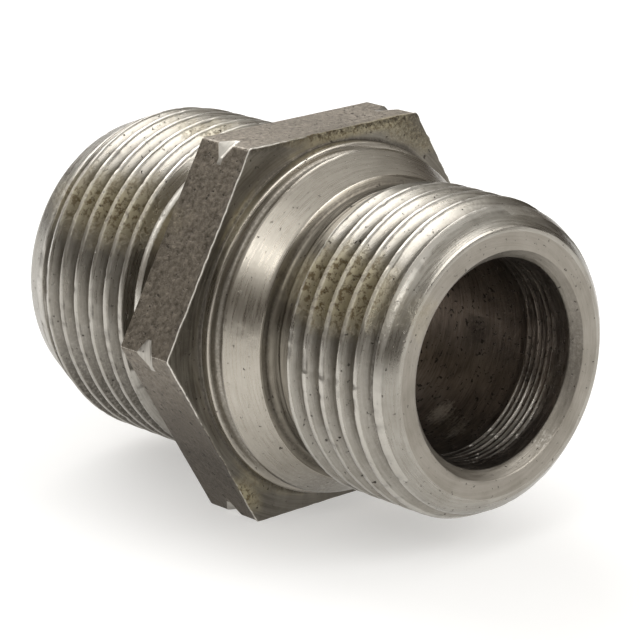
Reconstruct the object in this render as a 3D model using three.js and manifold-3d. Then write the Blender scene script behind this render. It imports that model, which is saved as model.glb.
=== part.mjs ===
// Hex nipple, one turned steel piece, in millimetres.
// The axis runs along X: the M20 x 1.5 end points along +X and the M22 x 1.5 end along -X.
// The spanner hexagon has a flat facing up (+Z) and a flat facing down, as it lies on a bench.
// The origin is on the axis, halfway between the two end faces.
import * as THREE from 'three';
import { mergeVertices } from 'three/addons/utils/BufferGeometryUtils.js';
import Module from 'manifold-3d';

const wasm = await Module();
wasm.setup();

// ---- driving dimensions ----
const LENGTH = 34.4;            // end face to end face
const NEAR_END = LENGTH / 2;    // M20 end face
const FAR_END = -LENGTH / 2;    // M22 end face
const SEGMENTS = 36;            // facets round the axis

const HEX_ACROSS_FLATS = 24;
const HEX_BACK = -2.0;
const HEX_FRONT = 2.6;
const HEX_EDGE_BREAK = 0.25;    // small turned chamfer on the corners
const MARK_GROOVE_X = 0.3;      // turned groove that nicks the six corners
const MARK_GROOVE_DEPTH = 0.46;
const MARK_GROOVE_HALF_WIDTH = 0.66;

const WASHER_FACE_RADIUS = 11.3;
const WASHER_FACE_FRONT = 3.3;
const NECK_RADIUS = 10.6;       // narrow neck between the washer face and the cone
const CONE_START = 4.2;
const CONE_START_RADIUS = 11.05;
const CONE_END = 6.29;
const CONE_END_RADIUS = 9.76;

const THREAD_PITCH = 1.5;
const THREAD_DEPTH = 0.85;
const THREAD_CREST_HALF_WIDTH = 0.16;
const FLANK_SLOPE = Math.tan(Math.PI / 6);   // 60 degree thread, half angle 30

const M20_CREST = 9.92;
const M20_RELIEF_RADIUS = 9.05;
const M20_RELIEF_START = 6.65;
const M20_THREAD_START = 8.45;
const M20_LEAD_START = 15.15;
const M20_LEAD_END = 16.53;
const M20_LEAD_RADIUS = 9.27;
const M20_FACE_RADIUS = 8.52;
const M20_CREST_X = 10.46;      // a crest passes here at M20_CREST_ANGLE
const M20_CREST_ANGLE = 168;    // degrees from +Y towards +Z

const M22_CREST = 10.9;
const M22_RELIEF_RADIUS = 9.8;
const M22_THREAD_START = -5.5;
const M22_LEAD_START = -13.2;
const M22_LEAD_END = -16.8;
const M22_LEAD_RADIUS = 9.55;
const M22_FACE_RADIUS = 9.23;
const M22_CREST_X = -10.37;
const M22_CREST_ANGLE = 169;

const BORE_RADIUS = 6.53;
const BORE_MOUTH_RADIUS = 7.06;
const BORE_MOUTH_DEPTH = 0.6;

// ---- helpers ----
// A closed mesh becomes a solid that can be joined and cut.
function solidOf(geometry) {
  const bare = geometry.clone();
  bare.deleteAttribute('normal');
  bare.deleteAttribute('uv');
  const merged = mergeVertices(bare, 1e-5);
  return new wasm.Manifold(new wasm.Mesh({
    numProp: 3,
    vertProperties: new Float32Array(merged.attributes.position.array),
    triVerts: new Uint32Array(merged.index.array),
  }));
}

// The profile is a list of [x, radius] that starts and ends on the axis or closes on itself.
function turned(profile, sides = SEGMENTS, start = 0) {
  const points = profile.map(([x, radius]) => new THREE.Vector2(radius, x));
  const geometry = new THREE.LatheGeometry(points, sides, start, Math.PI * 2);
  geometry.rotateZ(-Math.PI / 2);
  const solid = solidOf(geometry);
  return solid.volume() < 0 ? solidOf(flipped(geometry)) : solid;
}

function flipped(geometry) {
  const copy = geometry.clone();
  const index = copy.index.array;
  for (let i = 0; i < index.length; i += 3) {
    const held = index[i];
    index[i] = index[i + 1];
    index[i + 1] = held;
  }
  return copy;
}

// A right-hand helical ridge that runs past both ends, to be trimmed by an envelope.
function helicalRidge(crest, throughX, throughAngle, fromX, toX) {
  const floor = crest - THREAD_DEPTH - 0.1;
  const base = THREAD_CREST_HALF_WIDTH + (crest - floor) * FLANK_SLOPE;
  const section = [
    [-base, floor - 0.25],
    [-base, floor],
    [-THREAD_CREST_HALF_WIDTH, crest],
    [THREAD_CREST_HALF_WIDTH, crest],
    [base, floor],
    [base, floor - 0.25],
  ];
  const phase = throughX - THREAD_PITCH * throughAngle / 360;
  const first = Math.floor((fromX - phase) / THREAD_PITCH * SEGMENTS);
  const last = Math.ceil((toX - phase) / THREAD_PITCH * SEGMENTS);
  const positions = [];
  const faces = [];
  const width = section.length;
  for (let step = first; step <= last; step += 1) {
    const angle = step / SEGMENTS * Math.PI * 2;
    const x = phase + THREAD_PITCH * step / SEGMENTS;
    for (const [offset, radius] of section) {
      positions.push(x + offset, radius * Math.cos(angle), radius * Math.sin(angle));
    }
  }
  const rings = last - first;
  for (let ring = 0; ring < rings; ring += 1) {
    for (let k = 0; k < width; k += 1) {
      const a = ring * width + k;
      const b = ring * width + (k + 1) % width;
      faces.push(a, b, a + width, b, b + width, a + width);
    }
  }
  for (let k = 1; k < width - 1; k += 1) {
    faces.push(0, k + 1, k);
    faces.push(rings * width, rings * width + k, rings * width + k + 1);
  }
  const geometry = new THREE.BufferGeometry();
  geometry.setAttribute('position', new THREE.Float32BufferAttribute(positions, 3));
  geometry.setIndex(faces);
  const solid = solidOf(geometry);
  return solid.volume() < 0 ? solidOf(flipped(geometry)) : solid;
}

// ---- turned core: everything round except the thread ridges and the hexagon ----
const m20Root = M20_CREST - THREAD_DEPTH;
const m22Root = M22_CREST - THREAD_DEPTH;
const m22RootEnd = M22_LEAD_START
  + (M22_CREST - m22Root) / (M22_CREST - M22_LEAD_RADIUS) * (M22_LEAD_END - M22_LEAD_START);
const m20RootEnd = M20_LEAD_END
  + (M20_LEAD_RADIUS - m20Root) / (M20_LEAD_RADIUS - M20_FACE_RADIUS) * (NEAR_END - M20_LEAD_END);
const core = turned([
  [FAR_END, 0],
  [FAR_END, M22_FACE_RADIUS],
  [M22_LEAD_END, M22_LEAD_RADIUS],
  [m22RootEnd, m22Root],
  [M22_THREAD_START, m22Root],
  [M22_THREAD_START, M22_RELIEF_RADIUS],
  [HEX_BACK - 0.4, M22_RELIEF_RADIUS],
  [HEX_BACK + 0.2, M22_RELIEF_RADIUS + 0.6],
  [HEX_FRONT - 0.3, WASHER_FACE_RADIUS],
  [WASHER_FACE_FRONT - 0.12, WASHER_FACE_RADIUS],
  [WASHER_FACE_FRONT, WASHER_FACE_RADIUS - 0.12],
  [WASHER_FACE_FRONT + 0.12, NECK_RADIUS + 0.15],
  [WASHER_FACE_FRONT + 0.3, NECK_RADIUS],
  [CONE_START - 0.15, NECK_RADIUS + 0.05],
  [CONE_START, CONE_START_RADIUS],
  [CONE_END, CONE_END_RADIUS],
  [CONE_END + 0.12, M20_RELIEF_RADIUS + 0.2],
  [M20_RELIEF_START, M20_RELIEF_RADIUS],
  [M20_THREAD_START, M20_RELIEF_RADIUS],
  [M20_THREAD_START + 0.08, m20Root],
  [m20RootEnd, m20Root],
  [NEAR_END, M20_FACE_RADIUS],
  [NEAR_END, 0],
]);

// ---- thread ridges, trimmed by the turned blank they are cut into ----
const m20Blank = turned([
  [M20_THREAD_START, m20Root - 0.3],
  [M20_THREAD_START, M20_RELIEF_RADIUS],
  [M20_THREAD_START + 0.45, M20_CREST],
  [M20_LEAD_START, M20_CREST],
  [M20_LEAD_END, M20_LEAD_RADIUS],
  [m20RootEnd, m20Root],
  [m20RootEnd, m20Root - 0.3],
  [M20_THREAD_START, m20Root - 0.3],
]);
const m22Blank = turned([
  [m22RootEnd, m22Root - 0.3],
  [m22RootEnd, m22Root],
  [M22_LEAD_START, M22_CREST],
  [M22_THREAD_START - 0.12, M22_CREST],
  [M22_THREAD_START, M22_CREST - 0.12],
  [M22_THREAD_START, m22Root - 0.3],
  [m22RootEnd, m22Root - 0.3],
]);
const m20Ridge = helicalRidge(M20_CREST, M20_CREST_X, M20_CREST_ANGLE, M20_THREAD_START - 1, NEAR_END + 1);
const m22Ridge = helicalRidge(M22_CREST, M22_CREST_X, M22_CREST_ANGLE, FAR_END - 1, M22_THREAD_START + 1);
const m20Thread = m20Ridge.intersect(m20Blank);
const m22Thread = m22Ridge.intersect(m22Blank);

// ---- spanner hexagon with its corner groove ----
const hexCorner = HEX_ACROSS_FLATS / Math.sqrt(3);
const hexPrism = turned([
  [HEX_BACK, 0],
  [HEX_BACK, hexCorner],
  [HEX_FRONT, hexCorner],
  [HEX_FRONT, 0],
], 6, Math.PI / 2);
const cornerBlank = turned([
  [HEX_BACK, 0],
  [HEX_BACK, hexCorner - HEX_EDGE_BREAK],
  [HEX_BACK + HEX_EDGE_BREAK, hexCorner + 0.05],
  [MARK_GROOVE_X - MARK_GROOVE_HALF_WIDTH - 0.05, hexCorner + 0.05],
  [MARK_GROOVE_X - 0.1, hexCorner - MARK_GROOVE_DEPTH],
  [MARK_GROOVE_X + 0.1, hexCorner - MARK_GROOVE_DEPTH],
  [MARK_GROOVE_X + MARK_GROOVE_HALF_WIDTH + 0.05, hexCorner + 0.05],
  [HEX_FRONT - HEX_EDGE_BREAK / 2, hexCorner + 0.05],
  [HEX_FRONT, hexCorner - HEX_EDGE_BREAK / 2],
  [HEX_FRONT, 0],
], 48);
const hexagon = hexPrism.intersect(cornerBlank);

// ---- plain through bore, opened out at both mouths ----
const bore = turned([
  [FAR_END - 1, 0],
  [FAR_END - 1, BORE_MOUTH_RADIUS],
  [FAR_END, BORE_MOUTH_RADIUS],
  [FAR_END + BORE_MOUTH_DEPTH, BORE_RADIUS],
  [NEAR_END - BORE_MOUTH_DEPTH, BORE_RADIUS],
  [NEAR_END, BORE_MOUTH_RADIUS],
  [NEAR_END + 1, BORE_MOUTH_RADIUS],
  [NEAR_END + 1, 0],
]);

const body = core.add(m20Thread).add(m22Thread).add(hexagon).subtract(bore);

// ---- the single mesh of the part ----
const cut = body.getMesh();
const geometry = new THREE.BufferGeometry();
geometry.setAttribute('position', new THREE.Float32BufferAttribute(cut.vertProperties, 3));
geometry.setIndex(new THREE.Uint32BufferAttribute(cut.triVerts, 1));
geometry.computeVertexNormals();

const steel = new THREE.MeshStandardMaterial({ color: 0x9b968d, metalness: 0.9, roughness: 0.35 });
const nippleBody = new THREE.Mesh(geometry, steel);
nippleBody.name = 'nipple_body';

const group = new THREE.Group();
group.name = 'hex_nipple';
group.add(nippleBody);

export default group;
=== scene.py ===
"""Looks of a turned steel hex nipple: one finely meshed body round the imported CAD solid, in metres."""

import math

import bpy
import numpy as np
from mathutils import Matrix, Vector


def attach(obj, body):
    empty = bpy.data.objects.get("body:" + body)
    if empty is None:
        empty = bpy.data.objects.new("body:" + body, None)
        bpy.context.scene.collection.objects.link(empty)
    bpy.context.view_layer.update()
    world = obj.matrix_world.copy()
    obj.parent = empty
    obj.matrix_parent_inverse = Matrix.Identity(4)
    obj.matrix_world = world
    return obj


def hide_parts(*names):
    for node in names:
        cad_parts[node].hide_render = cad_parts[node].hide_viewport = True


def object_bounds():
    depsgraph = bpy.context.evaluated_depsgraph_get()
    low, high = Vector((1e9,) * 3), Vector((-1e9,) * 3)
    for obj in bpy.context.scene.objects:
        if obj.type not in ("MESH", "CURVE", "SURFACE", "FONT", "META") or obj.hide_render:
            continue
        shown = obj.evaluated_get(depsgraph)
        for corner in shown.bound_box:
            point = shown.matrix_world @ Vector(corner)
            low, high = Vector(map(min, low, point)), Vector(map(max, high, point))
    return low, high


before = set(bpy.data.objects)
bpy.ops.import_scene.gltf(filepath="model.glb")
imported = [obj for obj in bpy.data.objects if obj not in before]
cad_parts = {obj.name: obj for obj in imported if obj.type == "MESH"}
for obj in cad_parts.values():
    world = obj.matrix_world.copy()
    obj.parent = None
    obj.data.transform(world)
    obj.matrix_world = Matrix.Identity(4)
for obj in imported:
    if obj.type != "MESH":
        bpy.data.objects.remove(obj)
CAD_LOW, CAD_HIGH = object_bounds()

MM = 0.001
SEED = 7

# ---------------------------------------------------------------------------
# Driving dimensions, in millimetres, as in the CAD source.
# The axis runs along X. Angles are in degrees round X, from +Y towards +Z.
# ---------------------------------------------------------------------------
NEAR_END = CAD_HIGH.x / MM
FAR_END = CAD_LOW.x / MM

HEX_HALF_FLATS = CAD_HIGH.z / MM
HEX_CORNER = HEX_HALF_FLATS * 2 / math.sqrt(3)
HEX_BACK = -2.0
HEX_FRONT = 2.6
HEX_BEVEL = 0.05
CORNER_BREAK = 0.03        # what is rounded off the six long corners
MARK_X = 0.3               # the turned groove that nicks the corners
MARK_DEPTH = 0.46
MARK_HALF_WIDTH = 0.66
MARK_FLOOR = 0.1
MARK_EASE = 0.07           # how far the groove's sides stand back from its floor

WASHER_RADIUS = 11.3
WASHER_FRONT = 3.3
NECK_RADIUS = 10.6
CONE_START = 4.2
CONE_START_RADIUS = 11.05
CONE_END = 6.29
CONE_END_RADIUS = 9.76

PITCH = 1.5
THREAD_DEPTH = 0.85
CREST_HALF_WIDTH = 0.16
FLANK = math.tan(math.radians(30))
ROOT_EDGE = CREST_HALF_WIDTH + THREAD_DEPTH * FLANK

M20_RELIEF_RADIUS = 9.05
M20_FACE_RADIUS = 8.52
M22_RELIEF_RADIUS = 9.8
M22_FACE_RADIUS = 9.23
M22_LEAD_END = (-16.8, 9.55)

BORE_RADIUS = 6.53
BORE_MOUTH_RADIUS = 7.06
BORE_MOUTH_DEPTH = 0.6

# Details that only this mesh has
BURR = 0.15                # on the front rim of the hexagon
TRACE_HEIGHT = 0.07        # helical tool trace in the near relief groove
RING_DEPTH = 2.0           # coarse tool rings just inside the near mouth
RING_SPACING = 0.42
RING_HEIGHT = 0.13
RING_STRENGTH = (0.55, 0.8, 0.6, 1.0, 0.75, 0.9)
BORE_NARROWING = 0.03      # how much narrower the bore is past the rings
ROW_GAP = 0.06             # between a row of vertices and the edge beside it


def thread_sizes(crest, crest_x, crest_angle, start, end, envelope):
    """A right-hand thread from start to end, with a crest at crest_x, crest_angle, cut into a blank."""
    phase = crest_x - PITCH * crest_angle / 360
    return {"crest": crest, "phase": phase, "from": start, "to": end, "envelope": envelope}


M20 = thread_sizes(
    crest=9.92, crest_x=10.46, crest_angle=168, start=8.45, end=16.70,
    envelope=[(8.45, M20_RELIEF_RADIUS), (8.9, 9.92), (15.15, 9.92), (16.53, 9.27), (17.2, M20_FACE_RADIUS)],
)
M22 = thread_sizes(
    crest=10.9, crest_x=-10.37, crest_angle=169, start=-15.45, end=-5.5,
    envelope=[(-17.2, M22_FACE_RADIUS), M22_LEAD_END, (-13.2, 10.9), (-5.62, 10.9), (-5.5, 10.78)],
)


# ---------------------------------------------------------------------------
# Camera
# ---------------------------------------------------------------------------
CAMERA_PLACE = (146.9, -129.51, 57.98)
CAMERA_FORWARD = (-0.71651, 0.63558, -0.28748)
CAMERA_ROLL = -0.84
LENS = 180.45
SENSOR_WIDTH = 36


def make_camera():
    data = bpy.data.cameras.new("camera")
    data.sensor_width = SENSOR_WIDTH
    data.lens = LENS
    data.clip_start = 0.005
    data.clip_end = 20
    camera = bpy.data.objects.new("camera", data)
    bpy.context.scene.collection.objects.link(camera)
    camera.location = Vector(CAMERA_PLACE) * MM
    forward = Vector(CAMERA_FORWARD).normalized()
    look = forward.to_track_quat("-Z", "Y").to_matrix().to_4x4()
    roll = Matrix.Rotation(math.radians(CAMERA_ROLL), 4, "Z")
    camera.rotation_mode = "QUATERNION"
    camera.rotation_quaternion = (look @ roll).to_quaternion()
    bpy.context.scene.camera = camera


make_camera()


# ---------------------------------------------------------------------------
# Smooth seeded noise on points, for dents and unevenness in the mesh itself
# ---------------------------------------------------------------------------
CELL_PRIMES = (374761393, 668265263, 2147483647)
SEED_PRIME = 1274126177
SCRAMBLE = 1103515245
WORD = 0xFFFFFFFF
HALF_WORD = 0xFFFF


def lattice(cells, seed):
    """A repeatable number from -1 to 1 for each cell (ix, iy, iz)."""
    mixed = (cells @ np.array(CELL_PRIMES) + seed * SEED_PRIME) & WORD
    mixed = ((mixed ^ (mixed >> 13)) * SCRAMBLE) & WORD
    return ((mixed ^ (mixed >> 16)) & HALF_WORD) / (HALF_WORD / 2) - 1.0


def noise(points, size, seed):
    """Value noise from -1 to 1 with features of about size, at each row of points."""
    scaled = np.asarray(points, float) / size
    cell = np.floor(scaled).astype(np.int64)
    f = scaled - cell
    f = f * f * (3 - 2 * f)
    total = np.zeros(len(scaled))
    for dx in (0, 1):
        for dy in (0, 1):
            for dz in (0, 1):
                weight = (
                    np.where(dx, f[:, 0], 1 - f[:, 0])
                    * np.where(dy, f[:, 1], 1 - f[:, 1])
                    * np.where(dz, f[:, 2], 1 - f[:, 2])
                )
                total += weight * lattice(cell + np.array([dx, dy, dz]), seed)
    return total


# ---------------------------------------------------------------------------
# The outline, ring by ring
# ---------------------------------------------------------------------------
def line(start, end, steps):
    """Points from start to end, without the first."""
    return [tuple(a + (b - a) * i / steps for a, b in zip(start, end)) for i in range(1, steps + 1)]


def path(*legs):
    """Joins corner points, given by turns with the number of steps between them."""
    points = [legs[0]]
    for steps, corner in zip(legs[1::2], legs[2::2]):
        points += line(points[-1], corner, steps)
    return points


def column_angles():
    """Angles round the axis, closer together beside the six corners of the hexagon."""
    fine, coarse, reach, sector, hair = 0.4, 1.6, 3.6, 60, 1e-6
    angles = []
    for corner in range(0, 360, sector):
        angles += list(np.arange(0, reach, fine) + corner)
        angles += list(np.arange(reach, sector - reach - hair, coarse) + corner)
        angles += list(np.arange(sector - reach, sector - hair, fine) + corner)
    return np.array(angles)


ANGLES = column_angles()


def hex_radius(angle):
    """Distance from the axis to the hexagon's flats at an angle."""
    from_flat = (angle % 60) - 30
    return HEX_HALF_FLATS / math.cos(math.radians(from_flat))


def envelope_at(thread, x):
    """Radius of the turned blank that the thread is cut into."""
    xs, rs = zip(*thread["envelope"])
    return float(np.interp(x, xs, rs))


CREST_ROUND = 0.04         # how far in from its edges a crest's flat is rounded


def crest_edge(thread, centre, side):
    """Half the width of a ridge's flat crest, wider where the blank cuts it lower."""
    edge = CREST_HALF_WIDTH
    for _ in range(4):
        top = min(thread["crest"], envelope_at(thread, centre + side * edge))
        edge = min(CREST_HALF_WIDTH + (thread["crest"] - top) * FLANK, ROOT_EDGE)
    return min(edge, ROOT_EDGE - CREST_ROUND)


def ridge_rows(thread, centre):
    """The rows across one ridge of the thread whose middle is at centre: (x, radius, wear, grime and painted
    shade); the root rows carry painted shade.
    """
    rows = []
    for side in (-1, 1):
        edge = crest_edge(thread, centre, side)
        flank = ROOT_EDGE - edge
        # The grime on the lower flank and root rows is painted shade in the thread's hollow, with some grime.
        offsets = [
            (max(edge - CREST_ROUND, CREST_ROUND / 2), 1.0, 0.0),
            (edge + 0.05 * flank, 0.7, 0.0),
            (edge + 0.20 * flank, 0.1, 0.0),
            (edge + 0.82 * flank, 0.0, 0.3),
            (ROOT_EDGE + 0.01, 0.0, 0.9),
        ]
        if side < 0:
            offsets = [(PITCH / 2, 0.0, 1.0)] + offsets[::-1]
        rows += [(centre + side * offset, wear_and_highlight, grime_and_shade) for offset, wear_and_highlight, grime_and_shade in offsets]
        if side < 0:
            rows.append((centre, 1.0, 0.0))
    shaped = []
    for x, wear_and_highlight, grime_and_shade in rows:
        below = max(0.0, abs(x - centre) - CREST_HALF_WIDTH) / FLANK
        height = thread["crest"] - min(below, THREAD_DEPTH)
        shaped.append((x, min(height, envelope_at(thread, x)), wear_and_highlight, grime_and_shade))
    return shaped


ROWS_PER_RIDGE = 12
THREAD_GAP = 0.03          # between the last row of a thread and the row beyond it


def thread_rows(thread, angle, name):
    """The rows of a helical thread along one column, keyed so that a row keeps its key all round."""
    first = int(math.floor((thread["from"] - thread["phase"]) / PITCH)) - 2
    last = int(math.ceil((thread["to"] - thread["phase"]) / PITCH)) + 2
    rows = []
    for turn in range(first, last + 1):
        centre = thread["phase"] + PITCH * (turn + angle / 360)
        if centre < thread["from"] - PITCH or centre > thread["to"] + PITCH:
            continue
        for i, (x, r, wear_and_highlight, grime_and_shade) in enumerate(ridge_rows(thread, centre)):
            if thread["from"] + THREAD_GAP < x < thread["to"] - THREAD_GAP:
                rows.append(((name, turn * ROWS_PER_RIDGE + i), x, r, wear_and_highlight, grime_and_shade, "thread"))
    return rows


def fixed_rows(name, points, zone, wear_and_highlight=(), grime_and_shade=()):
    """Circular rows. wear and grime give how much a row has, by its number from 0; both can hold painted
    highlight and painted shade.
    """
    wear_and_highlight, grime_and_shade = dict(wear_and_highlight), dict(grime_and_shade)
    return [
        ((name, i), x, r, wear_and_highlight.get(i, 0.0), grime_and_shade.get(i, 0.0), zone)
        for i, (x, r) in enumerate(points)
    ]


def hexagon_rows(angle):
    """Back face, six flats with the corner groove, and front face."""
    outer = min(hex_radius(angle), HEX_CORNER - CORNER_BREAK)
    groove_floor = HEX_CORNER - MARK_DEPTH
    slope = (MARK_HALF_WIDTH - MARK_FLOOR) / MARK_DEPTH
    cut = min(outer, groove_floor)
    in_groove = max(0.0, outer - groove_floor)
    edge = MARK_FLOOR + MARK_EASE + in_groove * slope
    groove_zone = "mark" if in_groove > 0 else "flat"
    groove_wear = 0.5 if in_groove > 0 else 0.0
    corner_wear = 0.8 if angle % 60 == 0 else 0.0
    rim = 2.2 * HEX_BEVEL
    back_root = (HEX_BACK, M22_RELIEF_RADIUS + 0.55)
    front_root = (HEX_FRONT, WASHER_RADIUS + ROW_GAP)
    rows = []

    def add(zone, x, r, wear_and_highlight=0.0, grime_and_shade=0.0):
        rows.append((("hex", len(rows)), x, r, wear_and_highlight, grime_and_shade, zone))

    # Painted shade in the corner where the back face meets the relief groove.
    add("face", *back_root, grime_and_shade=0.8)
    for x, r in line(back_root, (HEX_BACK, outer - rim), 3):
        add("face", x, r)
    add("face", HEX_BACK, outer - HEX_BEVEL, 0.7)
    add("flat", HEX_BACK + HEX_BEVEL, outer, 0.7)
    for x, r in path((HEX_BACK + rim, outer), 4, (MARK_X - edge - ROW_GAP, outer)):
        add("flat", x, r, corner_wear)
    for place, r in ((-edge, outer), (-MARK_FLOOR, cut), (MARK_FLOOR, cut), (edge, outer)):
        add(groove_zone, MARK_X + place, r, groove_wear)
    for x, r in path((MARK_X + edge + ROW_GAP, outer), 4, (HEX_FRONT - rim, outer)):
        add("flat", x, r, corner_wear)
    # The front rim's bright line: a rubbed, burred edge with a painted highlight on it.
    add("flat", HEX_FRONT - HEX_BEVEL, outer, 0.92)
    add("face", HEX_FRONT, outer - HEX_BEVEL, 0.92)
    # The rows beside the washer get painted shade in the corner.
    for x, r in path((HEX_FRONT, outer - rim), 5, front_root):
        add("face", x, r, grime_and_shade=0.9 if r < WASHER_RADIUS + 0.1 else 0.0)
    return rows


def tool_rings():
    """Coarse ridges that the boring tool left just inside the near mouth."""
    points = []
    for i, strength in enumerate(RING_STRENGTH):
        x = NEAR_END - RING_DEPTH - RING_SPACING * i
        height = RING_HEIGHT * strength
        points += [(x + 0.20, BORE_RADIUS + 0.02), (x + 0.03, BORE_RADIUS - 0.9 * height)]
        points += [(x - 0.02, BORE_RADIUS - height), (x - 0.12, BORE_RADIUS + 0.01)]
    return points


def plain_bore(start):
    """The bore from the last ring on, with rows closer together where the near mouth lets one look in."""
    narrow = BORE_RADIUS - BORE_NARROWING
    return path(
        (start - 0.1, narrow), 1, (start - 0.6, narrow), 12, (start - 6.0, BORE_RADIUS - 0.02), 8,
        (FAR_END + BORE_MOUTH_DEPTH + 0.5, BORE_RADIUS),
    )


def beside(x, r, *offsets):
    """Points at the offsets (dx, dr) from x and r, for the small round corners that a cutting tool leaves."""
    return [(x + dx, r + dr) for dx, dr in offsets]


M22_RELIEF = beside(
    M22["to"], M22_RELIEF_RADIUS, (0, 0.24), (0.05, 0.17), (0.14, 0.10), (0.26, 0.045), (0.42, 0.012)
) + path(
    (M22["to"] + 0.6, M22_RELIEF_RADIUS), 5, (HEX_BACK - 0.75, M22_RELIEF_RADIUS)
) + beside(HEX_BACK, M22_RELIEF_RADIUS, (-0.35, 0.1), (-0.1, 0.3))
WASHER = path(
    (HEX_FRONT + ROW_GAP, WASHER_RADIUS), 3, (WASHER_FRONT - 0.08, WASHER_RADIUS)
) + beside(WASHER_FRONT, WASHER_RADIUS, (-0.02, -0.02), (0, -0.08))
NECK = path(
    (WASHER_FRONT + 0.02, WASHER_RADIUS - 0.13), 3, (WASHER_FRONT + 0.08, NECK_RADIUS + 0.18),
    1, (WASHER_FRONT + 0.18, NECK_RADIUS + 0.05), 1, (WASHER_FRONT + 0.34, NECK_RADIUS),
    2, (CONE_START - 0.2, NECK_RADIUS), 1, (CONE_START - 0.1, NECK_RADIUS + 0.1),
)
CONE = path(
    (CONE_START, CONE_START_RADIUS - 0.06), 1, (CONE_START + 0.05, CONE_START_RADIUS - 0.02),
    10, (CONE_END - 0.04, CONE_END_RADIUS + 0.02),
)
SHOULDER = path(
    (CONE_END + 0.015, CONE_END_RADIUS - 0.05), 3, (CONE_END + 0.16, M20_RELIEF_RADIUS + 0.26),
    1, (CONE_END + 0.21, M20_RELIEF_RADIUS + 0.13), 1, (CONE_END + 0.32, M20_RELIEF_RADIUS + 0.05),
    1, (CONE_END + 0.48, M20_RELIEF_RADIUS + 0.01), 1, (CONE_END + 0.6, M20_RELIEF_RADIUS),
    16, (M20["from"] - 0.02, M20_RELIEF_RADIUS),
)
NEAR_LEAD = path(
    (M20["to"], envelope_at(M20, M20["to"])), 2, (NEAR_END - 0.1, M20_FACE_RADIUS + 0.112),
    1, (NEAR_END - 0.03, M20_FACE_RADIUS + 0.02), 1, (NEAR_END, M20_FACE_RADIUS - 0.06),
)
NEAR_FACE = path((NEAR_END, M20_FACE_RADIUS - 0.3), 4, (NEAR_END, BORE_MOUTH_RADIUS + 0.04))
NEAR_MOUTH = path(
    (NEAR_END - 0.04, BORE_MOUTH_RADIUS), 3,
    (NEAR_END - BORE_MOUTH_DEPTH, BORE_RADIUS + 0.03), 1,
    (NEAR_END - BORE_MOUTH_DEPTH - 0.08, BORE_RADIUS),
)
RINGS = tool_rings()
BORE = [(NEAR_END - BORE_MOUTH_DEPTH - 0.13, BORE_RADIUS)] + RINGS + plain_bore(RINGS[-1][0])
FAR_MOUTH = path(
    (FAR_END + BORE_MOUTH_DEPTH + 0.08, BORE_RADIUS), 1,
    (FAR_END + BORE_MOUTH_DEPTH, BORE_RADIUS + 0.03), 3,
    (FAR_END + 0.04, BORE_MOUTH_RADIUS),
)
FAR_FACE = path((FAR_END, BORE_MOUTH_RADIUS + 0.04), 4, (FAR_END, M22_FACE_RADIUS - 0.06))
FAR_LEAD = path(
    (FAR_END + 0.04, M22_FACE_RADIUS + 0.02), 2, M22_LEAD_END, 4,
    (M22["from"], envelope_at(M22, M22["from"])),
)

# How worn or grimy some rows of the outline are, by row number, with painted highlights and painted shade
# among them
# A painted highlight on the fillet at the foot of the thread's end wall.
RELIEF_HIGHLIGHT = {0: 0.5, 1: 1.0, 2: 1.0, 3: 1.0, 4: 0.6}
# Painted shade in the corner under the hexagon's back face.
RELIEF_CORNER_SHADE = {11: 0.7, 12: 0.7}
# A painted highlight along the washer face's front edge.
WASHER_RIM_HIGHLIGHT = {3: 0.3, 4: 0.6, 5: 0.3}
# Painted shade on the floor of the narrow neck groove, with some oil grime.
NECK_GRIME_AND_SHADE = {i: 0.55 for i in range(3, 9)}
# Painted shade at the foot of the step down from the cone.
SHOULDER_SHADE = {2: 0.4, 3: 0.6, 4: 0.4}
RING_HIGHLIGHT = {i: 0.6 for i in range(len(RINGS)) if i % 4 in (2, 3)}   # the two highest rows of each ring, given a painted highlight


def column_rows(angle):
    """Every row of the closed outline along one column, from the far face round to the far mouth."""
    return (
        fixed_rows("far_face", FAR_FACE, "end")
        + fixed_rows("far_lead", FAR_LEAD, "lead")
        + thread_rows(M22, angle, "m22")
        + fixed_rows("m22_relief", M22_RELIEF, "relief", wear_and_highlight=RELIEF_HIGHLIGHT, grime_and_shade=RELIEF_CORNER_SHADE)
        + hexagon_rows(angle)
        # The washer's first row gets painted shade in the corner with the hexagon's face.
        + fixed_rows("washer", WASHER, "washer", wear_and_highlight=WASHER_RIM_HIGHLIGHT, grime_and_shade={0: 0.6})
        + fixed_rows("neck", NECK, "neck", grime_and_shade=NECK_GRIME_AND_SHADE)
        + fixed_rows("cone", CONE, "cone", wear_and_highlight={0: 0.4, 1: 0.4})
        + fixed_rows("shoulder", SHOULDER, "shoulder", grime_and_shade=SHOULDER_SHADE)
        + thread_rows(M20, angle, "m20")
        + fixed_rows("near_lead", NEAR_LEAD, "lead", wear_and_highlight={4: 0.2})
        + fixed_rows("near_face", NEAR_FACE, "end")
        + fixed_rows("near_mouth", NEAR_MOUTH, "mouth")
        + fixed_rows("bore", BORE, "bore", wear_and_highlight=RING_HIGHLIGHT)
        + fixed_rows("far_mouth", FAR_MOUTH, "mouth")
    )


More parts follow.
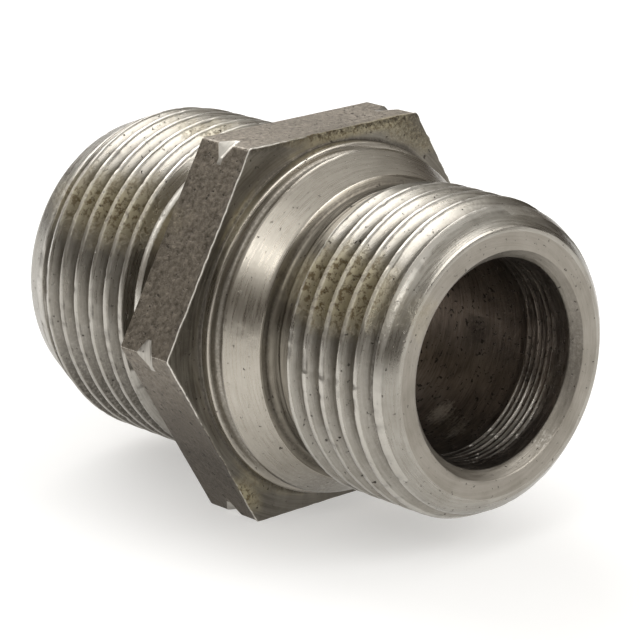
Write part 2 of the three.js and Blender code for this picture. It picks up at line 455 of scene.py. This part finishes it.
def stitch(left, right, shift):
    """Faces between two neighbouring columns, each a list of (key, vertex).

    A row that only one column has is closed with a triangle. shift is what the right column's thread keys
    lose at the seam, where the helix has climbed by one ridge.
    """
    def key_of(entry):
        name, index = entry[0]
        return (name, index - shift) if name in ("m20", "m22") else (name, index)

    left_keys = {entry[0] for entry in left}
    right_keys = {key_of(entry) for entry in right}
    faces = []
    i = j = 0
    while i < len(left) or j < len(right):
        a, b = left[i % len(left)][1], right[j % len(right)][1]
        a_next, b_next = left[(i + 1) % len(left)], right[(j + 1) % len(right)]
        only_left = i < len(left) and a_next[0] not in right_keys
        only_right = j < len(right) and key_of(b_next) not in left_keys
        if only_left:
            faces.append((a, b, a_next[1]))
            i += 1
        elif only_right:
            faces.append((a, b, b_next[1]))
            j += 1
        else:
            faces.append((a, b, b_next[1], a_next[1]))
            i += 1
            j += 1
    return faces


ZONES = [
    "thread", "lead", "relief", "shoulder", "face", "flat", "mark",
    "washer", "neck", "cone", "end", "mouth", "bore",
]


def body_mesh():
    """The vertices as arrays (x, radius, angle, wear and painted highlight, grime and painted shade, zone),
    in mm and degrees, and the faces.
    """
    columns, table = [], []
    for angle in ANGLES:
        column = []
        for key, x, r, wear_and_highlight, grime_and_shade, zone in column_rows(angle):
            column.append((key, len(table)))
            table.append((x, r, angle, wear_and_highlight, grime_and_shade, ZONES.index(zone)))
        columns.append(column)
    faces = []
    for index, column in enumerate(columns):
        seam = index == len(columns) - 1
        faces += stitch(column, columns[(index + 1) % len(columns)], ROWS_PER_RIDGE if seam else 0)
    return np.array(table).T, faces


def on_cylinder(x, r, angle):
    turn = np.radians(angle)
    return np.stack([x, r * np.cos(turn), r * np.sin(turn)], axis=1)


def zone_mask(zone, *names):
    return np.isin(zone, [ZONES.index(name) for name in names]).astype(float)


def bump_at(value, centre, width):
    return np.exp(-(((value - centre) / width) ** 2))


NICK_SIZE = 0.45
NICK_DEPTH = 0.15
FINE_SIZE = 0.35
MID_SIZE = 0.9
BROAD_SIZE = 3.0
DIG_SIZE = 0.6
DIG_DEPTH = 0.10
TRACE_WIDTH = 0.09


def roughen(x, r, angle, wear_and_highlight, zone):
    """Small real unevenness: nicked crests, scaled flats, a burred rim, a tool trace and shallow digs."""
    points = on_cylinder(x, r, angle)
    fine = noise(points, FINE_SIZE, SEED)
    mid = noise(points, MID_SIZE, SEED + 1)
    broad = noise(points, BROAD_SIZE, SEED + 2)
    nick = np.clip(noise(points, NICK_SIZE, SEED + 3) - 0.40, 0, 1)
    dig = np.clip(noise(points, DIG_SIZE, SEED + 4) - 0.62, 0, 1)
    crest = zone_mask(zone, "thread") * wear_and_highlight
    r = r + crest * (0.012 * fine + 0.012 * mid)
    r = r - crest * nick * NICK_DEPTH
    r = r + zone_mask(zone, "flat") * (1 - wear_and_highlight) * (0.012 * fine + 0.014 * mid + 0.012 * broad)
    rim = zone_mask(zone, "flat", "face") * (wear_and_highlight > 0) * (np.abs(x - HEX_FRONT) < 1.5 * HEX_BEVEL)
    r = r + rim * (BURR * (0.35 + 0.65 * np.abs(mid)) + 0.04 * fine)
    x = x + rim * 0.03 * fine
    x = x + zone_mask(zone, "end") * 0.006 * mid
    from_helix = (x - M20["phase"] - PITCH * angle / 360 + PITCH / 2) % PITCH - PITCH / 2
    clear_of_cone = np.clip((x - CONE_END - 0.55) / 0.2, 0, 1)
    trace = TRACE_HEIGHT * bump_at(from_helix, 0, TRACE_WIDTH)
    r = r + zone_mask(zone, "shoulder") * clear_of_cone * trace
    r = r - zone_mask(zone, "cone", "lead", "washer") * dig * DIG_DEPTH
    return x, r


# Soft-edged patches on the surface. Each has its strength, then its middle and spread: in degrees round the
# axis, and where they limit it, in mm along the axis and in radius.
STAINS = (
    (1.2, (146, 16), (11.8, 4.6)),                      # the near thread, above the -Y side
    (0.85, (142, 15), (-9.5, 8)),                       # the far thread in the same place
    (0.5, (98, 13), (-8, 5)),                           # the far thread's top
    (0.7, (125, 38), (2.95, 0.5), (11.5, 0.35)),        # round the washer face
    (0.8, (238, 20), (2.95, 0.5), (11.5, 0.35)),
    (0.62, (60, 15), (2.7, 1.2), (12.6, 1.0)),          # upper +Y corner of the hexagon's front
    (0.9, (231, 9), (HEX_FRONT, 0.4), (12.8, 0.9)),     # lower -Y corner of the hexagon's front
)
# The same after the zones and the end of the part that each is limited to: painted shade on the undersides,
# and rust and dirt at the top of the hexagon's front
GRIME_AND_SHADE = (
    # Painted shade, darker towards the underside: the threads, the lower flats, the cone and washer, the
    # neck.
    (("thread",), "far", 0.85, (222, 30)),
    (("thread",), "near", 0.15, (222, 30)),
    (("flat",), "both", 0.95, (222, 30)),
    (("cone", "washer"), "both", 0.45, (250, 20)),
    (("neck",), "both", 0.5, (195, 30)),
    # Rust and dirt at the upper +Y corner of the hexagon's front and along the top flat.
    (("face",), "near", 0.8, (58, 12), None, (12.8, 1.2)),
    (("flat",), "both", 0.2, (88, 24)),
    (("flat",), "both", 0.6, (88, 24), (HEX_FRONT, 0.6)),
)
# Darker patches in the bore.
BORE_DARK_PATCHES = (
    (("bore",), "both", 1.0, (336, 9), (13.6, 0.8)),
    (("bore",), "both", 0.8, (352, 10), (8.6, 1.0)),
)
# Painted highlights: light reflected off the bore wall low down, and the near mouth's lit lower edge.
BORE_AND_MOUTH_HIGHLIGHTS = (
    (("bore",), "both", 0.62, (297, 20), (9.8, 3.0)),
    (("bore",), "both", 0.62, (303, 24), (14.6, 1.5)),
    (("bore",), "both", 0.4, (301, 14), (8.4, 0.8)),
    (("bore",), "both", 0.4, (286, 12), (11.1, 0.6)),
    (("mouth",), "near", 0.62, (306, 23)),
)
TOP_EDGE = (88, 26)
TORN_CREST_GRIME = 1.6


def patch(x, r, angle, strength, around, along=None, out=None):
    amount = strength * bump_at(angle, *around)
    if along:
        amount = amount * bump_at(x, *along)
    if out:
        amount = amount * bump_at(r, *out)
    return amount


def patches(table, x, r, angle, zone):
    """The sum of a table's patches, each inside its own zones and its own end of the part."""
    ends = {"near": x > 0, "far": x < 0, "both": np.ones(len(x))}
    return sum(
        zone_mask(zone, *zones) * ends[end] * patch(x, r, angle, *place) for zones, end, *place in table
    )


def under_top_flat(r, angle, spread):
    """1 at the height of the top flat, fading downwards."""
    return bump_at(r * np.sin(np.radians(angle)), HEX_HALF_FLATS, spread)


def stain_mask(x, r, angle):
    """Where brown and olive staining sits."""
    stain = sum(patch(x, r, angle, *place) for place in STAINS)
    stain = stain + under_top_flat(r, angle, 0.5) * bump_at(x, HEX_FRONT, 0.35) * bump_at(angle, *TOP_EDGE)
    return np.clip(stain, 0, 1)


def settle_marks(x, r, angle, wear_and_highlight, grime_and_shade, zone):
    """The wear and grime with the patches added: painted shade on the undersides and round the near mouth,
    darker bore patches, painted highlights in the bore and near mouth, the torn crests grimy and parts of the
    rim dull.
    """
    near_face = zone_mask(zone, "face") * (x > 0)
    low = patches(GRIME_AND_SHADE, x, r, angle, zone) + 0.9 * near_face * under_top_flat(r, angle, 0.3)
    torn = np.clip(noise(on_cylinder(x, r, angle), NICK_SIZE, SEED + 3) - 0.25, 0, 1)
    low = low + TORN_CREST_GRIME * zone_mask(zone, "thread") * (wear_and_highlight > 0.5) * torn
    # The rim's highlight is painted duller at the lower -Y side, as painted shade, and at the top, where rust
    # dulls it.
    dull_rim = 0.35 * bump_at(angle, 215, 20) + 0.55 * bump_at(angle, 82, 24)
    wear_and_highlight = wear_and_highlight - dull_rim * zone_mask(zone, "flat", "face") * (wear_and_highlight > 0.3)
    dark_patches_and_mouth_shade = patches(BORE_DARK_PATCHES, x, r, angle, zone)
    # Painted shade round the near mouth, centred on the +Y side.
    near_mouth = zone_mask(zone, "mouth") * (x > 0)
    dark_patches_and_mouth_shade = dark_patches_and_mouth_shade + 0.55 * near_mouth * bump_at((angle + 180) % 360, 178, 30)
    # Painted highlights on the bore wall, the ring tops and the near mouth's edge.
    painted_highlights = patches(BORE_AND_MOUTH_HIGHLIGHTS, x, r, angle, zone)
    painted_highlights = painted_highlights + 0.5 * zone_mask(zone, "bore") * (wear_and_highlight > 0) * bump_at(angle, 298, 24)
    return wear_and_highlight + painted_highlights, np.clip(np.maximum(grime_and_shade, low) + dark_patches_and_mouth_shade, 0, 1)


def build_body():
    (x, r, angle, wear_and_highlight, grime_and_shade, zone), faces = body_mesh()
    stain = stain_mask(x, r, angle)
    x, r = roughen(x, r, angle, wear_and_highlight, zone)
    mesh = bpy.data.meshes.new("nipple")
    mesh.from_pydata(on_cylinder(x, r, angle) * MM, [], faces)
    mesh.update()
    mesh.shade_smooth()
    wear_and_highlight, grime_and_shade = settle_marks(x, r, angle, wear_and_highlight, grime_and_shade, zone)
    # The wear and grime attributes also carry painted highlights and painted shade.
    for name, values in (("wear_and_highlight", wear_and_highlight), ("grime_and_shade", grime_and_shade), ("stain", stain)):
        mesh.attributes.new(name, "FLOAT", "POINT").data.foreach_set("value", values)
    for name in MATERIAL_OF:
        mesh.materials.append(MATERIALS[name])
    slots = {zone: i for i, zones in enumerate(MATERIAL_OF.values()) for zone in zones}
    corner = np.empty(len(mesh.polygons), int)
    mesh.polygons.foreach_get("loop_start", corner)
    vertex = np.empty(len(mesh.loops), int)
    mesh.loops.foreach_get("vertex_index", vertex)
    first_zone = zone[vertex[corner]].astype(int)
    mesh.polygons.foreach_set("material_index", [slots[ZONES[z]] for z in first_zone])
    body = bpy.data.objects.new("nipple", mesh)
    bpy.context.scene.collection.objects.link(body)
    return body


# ---------------------------------------------------------------------------
# Materials
# ---------------------------------------------------------------------------
class Nodes:
    """Short names for the shader nodes used below."""

    def __init__(self, name):
        self.material = bpy.data.materials.new(name)
        self.material.use_nodes = True
        self.tree = self.material.node_tree
        self.shader = self.tree.nodes["Principled BSDF"]

    def add(self, kind, *inputs, **settings):
        node = self.tree.nodes.new(kind)
        for name, value in settings.items():
            setattr(node, name, value)
        for i, value in enumerate(inputs):
            self.set(node.inputs[i], value)
        return node.outputs[0]

    def set(self, socket, value):
        if isinstance(value, bpy.types.NodeSocket):
            self.tree.links.new(value, socket)
        elif value is not None:
            socket.default_value = value

    def maths(self, operation, a, b=None):
        return self.add("ShaderNodeMath", a, b, operation=operation)

    def plus(self, a, b):
        return self.maths("ADD", a, b)

    def times(self, a, b):
        return self.maths("MULTIPLY", a, b)

    def vector(self, operation, a, b):
        return self.add("ShaderNodeVectorMath", a, b, operation=operation)

    def attribute(self, name):
        node = self.tree.nodes.new("ShaderNodeAttribute")
        node.attribute_name = name
        return node.outputs["Fac"]

    def noise(self, vector, scale, detail=2.0, rough=0.5, distortion=0.0):
        node = self.tree.nodes.new("ShaderNodeTexNoise")
        self.set(node.inputs["Vector"], vector)
        self.set(node.inputs["Scale"], scale)
        self.set(node.inputs["Detail"], detail)
        self.set(node.inputs["Roughness"], rough)
        self.set(node.inputs["Distortion"], distortion)
        return node.outputs["Fac"]

    def band(self, value, low, high):
        """0 below low, 1 above high, straight between."""
        node = self.tree.nodes.new("ShaderNodeMapRange")
        for socket, number in zip(("Value", "From Min", "From Max"), (value, low, high)):
            self.set(node.inputs[socket], number)
        return node.outputs["Result"]

    def mix(self, amount, a, b):
        """Colour a where amount is 0, b where it is 1."""
        node = self.tree.nodes.new("ShaderNodeMix")
        node.data_type = "RGBA"
        self.set(node.inputs["Factor"], amount)
        self.set(node.inputs["A"], a)
        self.set(node.inputs["B"], b)
        return node.outputs["Result"]

    def blend(self, amount, a, b):
        """Number a where amount is 0, b where it is 1."""
        node = self.tree.nodes.new("ShaderNodeMix")
        self.set(node.inputs["Factor"], amount)
        self.set(node.inputs["A"], a)
        self.set(node.inputs["B"], b)
        return node.outputs["Result"]


def colour(r, g, b):
    return (r, g, b, 1.0)


BRIGHT = colour(0.74, 0.71, 0.65)          # rubbed edges and painted highlights
OLIVE = colour(0.52, 0.462, 0.305)         # thin film of stain
STAIN = colour(0.155, 0.115, 0.062)        # brown blotches in it
SOOT_AND_SHADE = colour(0.045, 0.037, 0.03)          # pits, grime and painted shade
STAIN_STRENGTH = 0.9
DULL_ROUGHNESS = 0.62                      # where stained, pitted, grimy or given painted shade


def turned_coordinates(n):
    """The place in mm, the place in the outline (along, out), and the direction round the axis."""
    texture = n.tree.nodes.new("ShaderNodeTexCoord")
    place = n.vector("MULTIPLY", texture.outputs["Object"], (1 / MM, 1 / MM, 1 / MM))
    parts = n.tree.nodes.new("ShaderNodeSeparateXYZ")
    n.set(parts.inputs[0], place)
    x, y, z = parts.outputs
    radius = n.maths("SQRT", n.plus(n.times(y, y), n.times(z, z)))
    around = n.add("ShaderNodeCombineXYZ", 0.0, n.maths("DIVIDE", y, radius), n.maths("DIVIDE", z, radius))
    profile = n.add("ShaderNodeCombineXYZ", x, radius, 0.0)
    return place, profile, around


def tool_lines(n, profile, around, ring):
    """Noise stretched round the axis: rings spaced by ring mm, and coarser arcs."""
    across = n.vector("MULTIPLY", profile, (1 / ring, 1 / ring, 0))
    rings = n.noise(n.vector("ADD", across, around), 1.0, 3, 0.6)
    coarse = n.vector("MULTIPLY", profile, (7, 7, 0))
    turn = n.vector("MULTIPLY", around, (5, 5, 5))
    return rings, n.noise(n.vector("ADD", coarse, turn), 1.0, 3, 0.6)


def steel(
    name, light, dark, rough, ring, ring_height, grain_height, specks,
    worn_and_highlight=1.0, mottled=0.0, pit=0.03, grain_size=5.0,
):
    """Turned or rolled steel with its stains, specks, grime and rubbed edges, and the painted shade and
    painted highlights that the grime and wear carry. Heights are in mm.

    ring is the spacing of the tool lines. The nearer specks is to 1, the fewer there are. mottled is how much
    of the colour follows the grain and not the tool lines. pit is how deep specks and stains are eaten in.
    """
    n = Nodes(name)
    place, profile, around = turned_coordinates(n)
    rings, arcs = tool_lines(n, profile, around, ring)
    grain = n.noise(place, grain_size, 4, 0.65)
    clouds = n.noise(place, 0.35, 4, 0.6, 0.6)
    spots = n.noise(place, 3.2, 3, 0.55, 0.3)
    mottle = n.noise(place, 2.7, 5, 0.72, 0.2)
    wear_and_highlight, grime_and_shade, stain = (n.attribute(key) for key in ("wear_and_highlight", "grime_and_shade", "stain"))

    tone = n.plus(n.times(clouds, 0.5), n.times(arcs, 0.5))
    stain_here = n.times(n.band(n.plus(stain, n.times(clouds, 0.6)), 0.55, 1.1), STAIN_STRENGTH)
    blotch = n.times(n.band(mottle, 0.49, 0.58), stain_here)
    speck = n.times(n.band(spots, specks, specks + 0.05), 0.85)
    # The grime mix also paints shade in corners, roots and on the undersides.
    grime_and_shade_here = n.times(grime_and_shade, n.band(grain, 0.2, 0.55))
    rub_and_highlight = n.plus(wear_and_highlight, n.times(n.blend(0.4, grain, arcs), 0.9))

    base = n.mix(n.band(n.blend(mottled, tone, grain), 0.36, 0.64), dark, light)
    base = n.mix(n.times(stain_here, 0.75), base, OLIVE)
    base = n.mix(blotch, base, STAIN)
    base = n.mix(speck, base, SOOT_AND_SHADE)
    base = n.mix(n.times(grime_and_shade_here, 0.85), base, SOOT_AND_SHADE)
    # The rub mix brightens rubbed edges and also paints highlights.
    base = n.mix(n.times(n.band(rub_and_highlight, 1.05, 1.35), worn_and_highlight), base, BRIGHT)
    n.set(n.shader.inputs["Base Color"], base)
    n.shader.inputs["Metallic"].default_value = 1.0

    dull = n.maths("MAXIMUM", n.times(stain_here, 0.6), speck)
    dull = n.maths("MAXIMUM", dull, n.times(grime_and_shade_here, 0.8))
    clean = n.blend(n.band(arcs, 0.3, 0.7), rough - 0.06, rough + 0.08)
    n.set(n.shader.inputs["Roughness"], n.blend(dull, clean, DULL_ROUGHNESS))

    height = n.plus(n.times(rings, ring_height), n.times(grain, grain_height))
    height = n.maths("SUBTRACT", height, n.times(n.maths("MAXIMUM", speck, blotch), pit))
    bump = n.tree.nodes.new("ShaderNodeBump")
    bump.inputs["Distance"].default_value = MM
    n.set(bump.inputs["Height"], height)
    n.set(n.shader.inputs["Normal"], bump.outputs["Normal"])
    return n.material


# The zones of the surface that each material covers
MATERIAL_OF = {
    "thread_steel": ("thread", "lead"),
    "turned_steel": ("cone", "washer", "neck"),
    # The grooves' darker steel is painted shade, with some oil grime.
    "shaded_oily_groove_steel": ("shoulder", "relief"),
    "end_steel": ("end", "mouth"),
    "face_steel": ("face",),
    "scaled_flats": ("flat",),
    "cut_mark": ("mark",),
    "bore_steel": ("bore",),
}
FINISHES = {
    "thread_steel": dict(
        light=colour(0.38, 0.36, 0.322), dark=colour(0.265, 0.246, 0.212), rough=0.28,
        ring=0.09, ring_height=0.006, grain_height=0.008, specks=0.67, worn_and_highlight=0.35,
    ),
    "turned_steel": dict(
        light=colour(0.47, 0.437, 0.382), dark=colour(0.345, 0.316, 0.268), rough=0.28,
        ring=0.10, ring_height=0.0045, grain_height=0.006, specks=0.68,
    ),
    # Darker than the turned steel: painted shade in the grooves, with some oil grime.
    "shaded_oily_groove_steel": dict(
        light=colour(0.25, 0.228, 0.19), dark=colour(0.15, 0.133, 0.106), rough=0.30,
        ring=0.12, ring_height=0.010, grain_height=0.006, specks=0.67,
    ),
    "end_steel": dict(
        light=colour(0.325, 0.30, 0.262), dark=colour(0.23, 0.21, 0.177), rough=0.42,
        ring=0.14, ring_height=0.014, grain_height=0.012, specks=0.66,
    ),
    "face_steel": dict(
        light=colour(0.225, 0.208, 0.176), dark=colour(0.108, 0.097, 0.080), rough=0.38,
        ring=0.16, ring_height=0.012, grain_height=0.008, specks=0.66,
    ),
    "scaled_flats": dict(
        light=colour(0.315, 0.276, 0.226), dark=colour(0.098, 0.083, 0.064), rough=0.50,
        ring=3.0, ring_height=0.01, grain_height=0.06, specks=0.63, mottled=0.65, grain_size=3.0,
    ),
    "cut_mark": dict(
        light=colour(0.50, 0.475, 0.43), dark=colour(0.31, 0.29, 0.26), rough=0.38,
        ring=0.3, ring_height=0.006, grain_height=0.008, specks=0.70,
    ),
    "bore_steel": dict(
        light=colour(0.36, 0.32, 0.28), dark=colour(0.15, 0.128, 0.112), rough=0.34,
        ring=0.22, ring_height=0.008, grain_height=0.012, specks=0.60, pit=0.008,
    ),
}
MATERIALS = {name: steel(name, **finish) for name, finish in FINISHES.items()}

nipple = build_body()


# ---------------------------------------------------------------------------
# Studio
# ---------------------------------------------------------------------------
FLOOR_SIDE = 3.0
FLOOR_COLOUR = (0.62, 0.62, 0.62)
FLOOR_LIGHT = (1, 0.99, 0.97)
FLOOR_GLOW = 0.45
BACKDROP = (0.93, 0.925, 0.91)
ROOM = (
    (0.0, (0.10, 0.085, 0.07)),
    (0.25, (0.12, 0.105, 0.09)),
    (0.45, (0.36, 0.34, 0.31)),
    (0.70, (0.60, 0.59, 0.57)),
    (1.0, (0.85, 0.84, 0.82)),
)
LIGHT_DISTANCE = 0.7


def make_floor():
    mesh = bpy.data.meshes.new("floor")
    half = FLOOR_SIDE / 2
    corners = [(-half, -half, 0), (half, -half, 0), (half, half, 0), (-half, half, 0)]
    mesh.from_pydata(corners, [], [(0, 1, 2, 3)])
    floor = bpy.data.objects.new("floor", mesh)
    floor.location.z = CAD_LOW.z
    bpy.context.scene.collection.objects.link(floor)
    material = bpy.data.materials.new("floor")
    material.use_nodes = True
    shader = material.node_tree.nodes["Principled BSDF"]
    shader.inputs["Base Color"].default_value = (*FLOOR_COLOUR, 1)
    shader.inputs["Roughness"].default_value = 0.9
    shader.inputs["Emission Color"].default_value = (*FLOOR_LIGHT, 1)
    shader.inputs["Emission Strength"].default_value = FLOOR_GLOW
    mesh.materials.append(material)


def make_world():
    """A room, brighter overhead, that lights the steel, while the camera sees a plain pale backdrop."""
    world = bpy.data.worlds.new("studio")
    world.use_nodes = True
    tree = world.node_tree
    direction = tree.nodes.new("ShaderNodeTexCoord").outputs["Generated"]
    parts = tree.nodes.new("ShaderNodeSeparateXYZ")
    tree.links.new(direction, parts.inputs[0])
    ramp = tree.nodes.new("ShaderNodeValToRGB")
    tree.links.new(parts.outputs["Z"], ramp.inputs[0])
    while len(ramp.color_ramp.elements) < len(ROOM):
        ramp.color_ramp.elements.new(0.5)
    for element, (place, level) in zip(ramp.color_ramp.elements, ROOM):
        element.position = place
        element.color = (*level, 1)
    room = tree.nodes["Background"]
    tree.links.new(ramp.outputs["Color"], room.inputs["Color"])
    backdrop = tree.nodes.new("ShaderNodeBackground")
    backdrop.inputs["Color"].default_value = (*BACKDROP, 1)
    seen = tree.nodes.new("ShaderNodeMixShader")
    light_path = tree.nodes.new("ShaderNodeLightPath")
    tree.links.new(light_path.outputs["Is Camera Ray"], seen.inputs[0])
    tree.links.new(room.outputs[0], seen.inputs[1])
    tree.links.new(backdrop.outputs[0], seen.inputs[2])
    tree.links.new(seen.outputs[0], tree.nodes["World Output"].inputs["Surface"])
    bpy.context.scene.world = world


def softbox(name, direction, size, power):
    """A round area light that faces the part's middle."""
    data = bpy.data.lights.new(name, "AREA")
    data.shape = "DISK"
    data.size = size
    data.energy = power
    light = bpy.data.objects.new(name, data)
    bpy.context.scene.collection.objects.link(light)
    towards = Vector(direction).normalized()
    light.location = towards * LIGHT_DISTANCE
    light.rotation_mode = "QUATERNION"
    light.rotation_quaternion = towards.to_track_quat("Z", "Y")


make_floor()
make_world()
softbox("back", (-0.74, 0.22, 0.62), size=0.62, power=3.2)
softbox("right", (0.78, 0.34, 0.52), size=0.46, power=2.5)
softbox("left", (0.25, -0.70, 0.67), size=0.22, power=0.30)
softbox("upper_left", (0.24, -0.52, 0.82), size=0.46, power=0.45)
bpy.context.scene.view_settings.view_transform = "Standard"

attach(nipple, "root")
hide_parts("nipple_body")
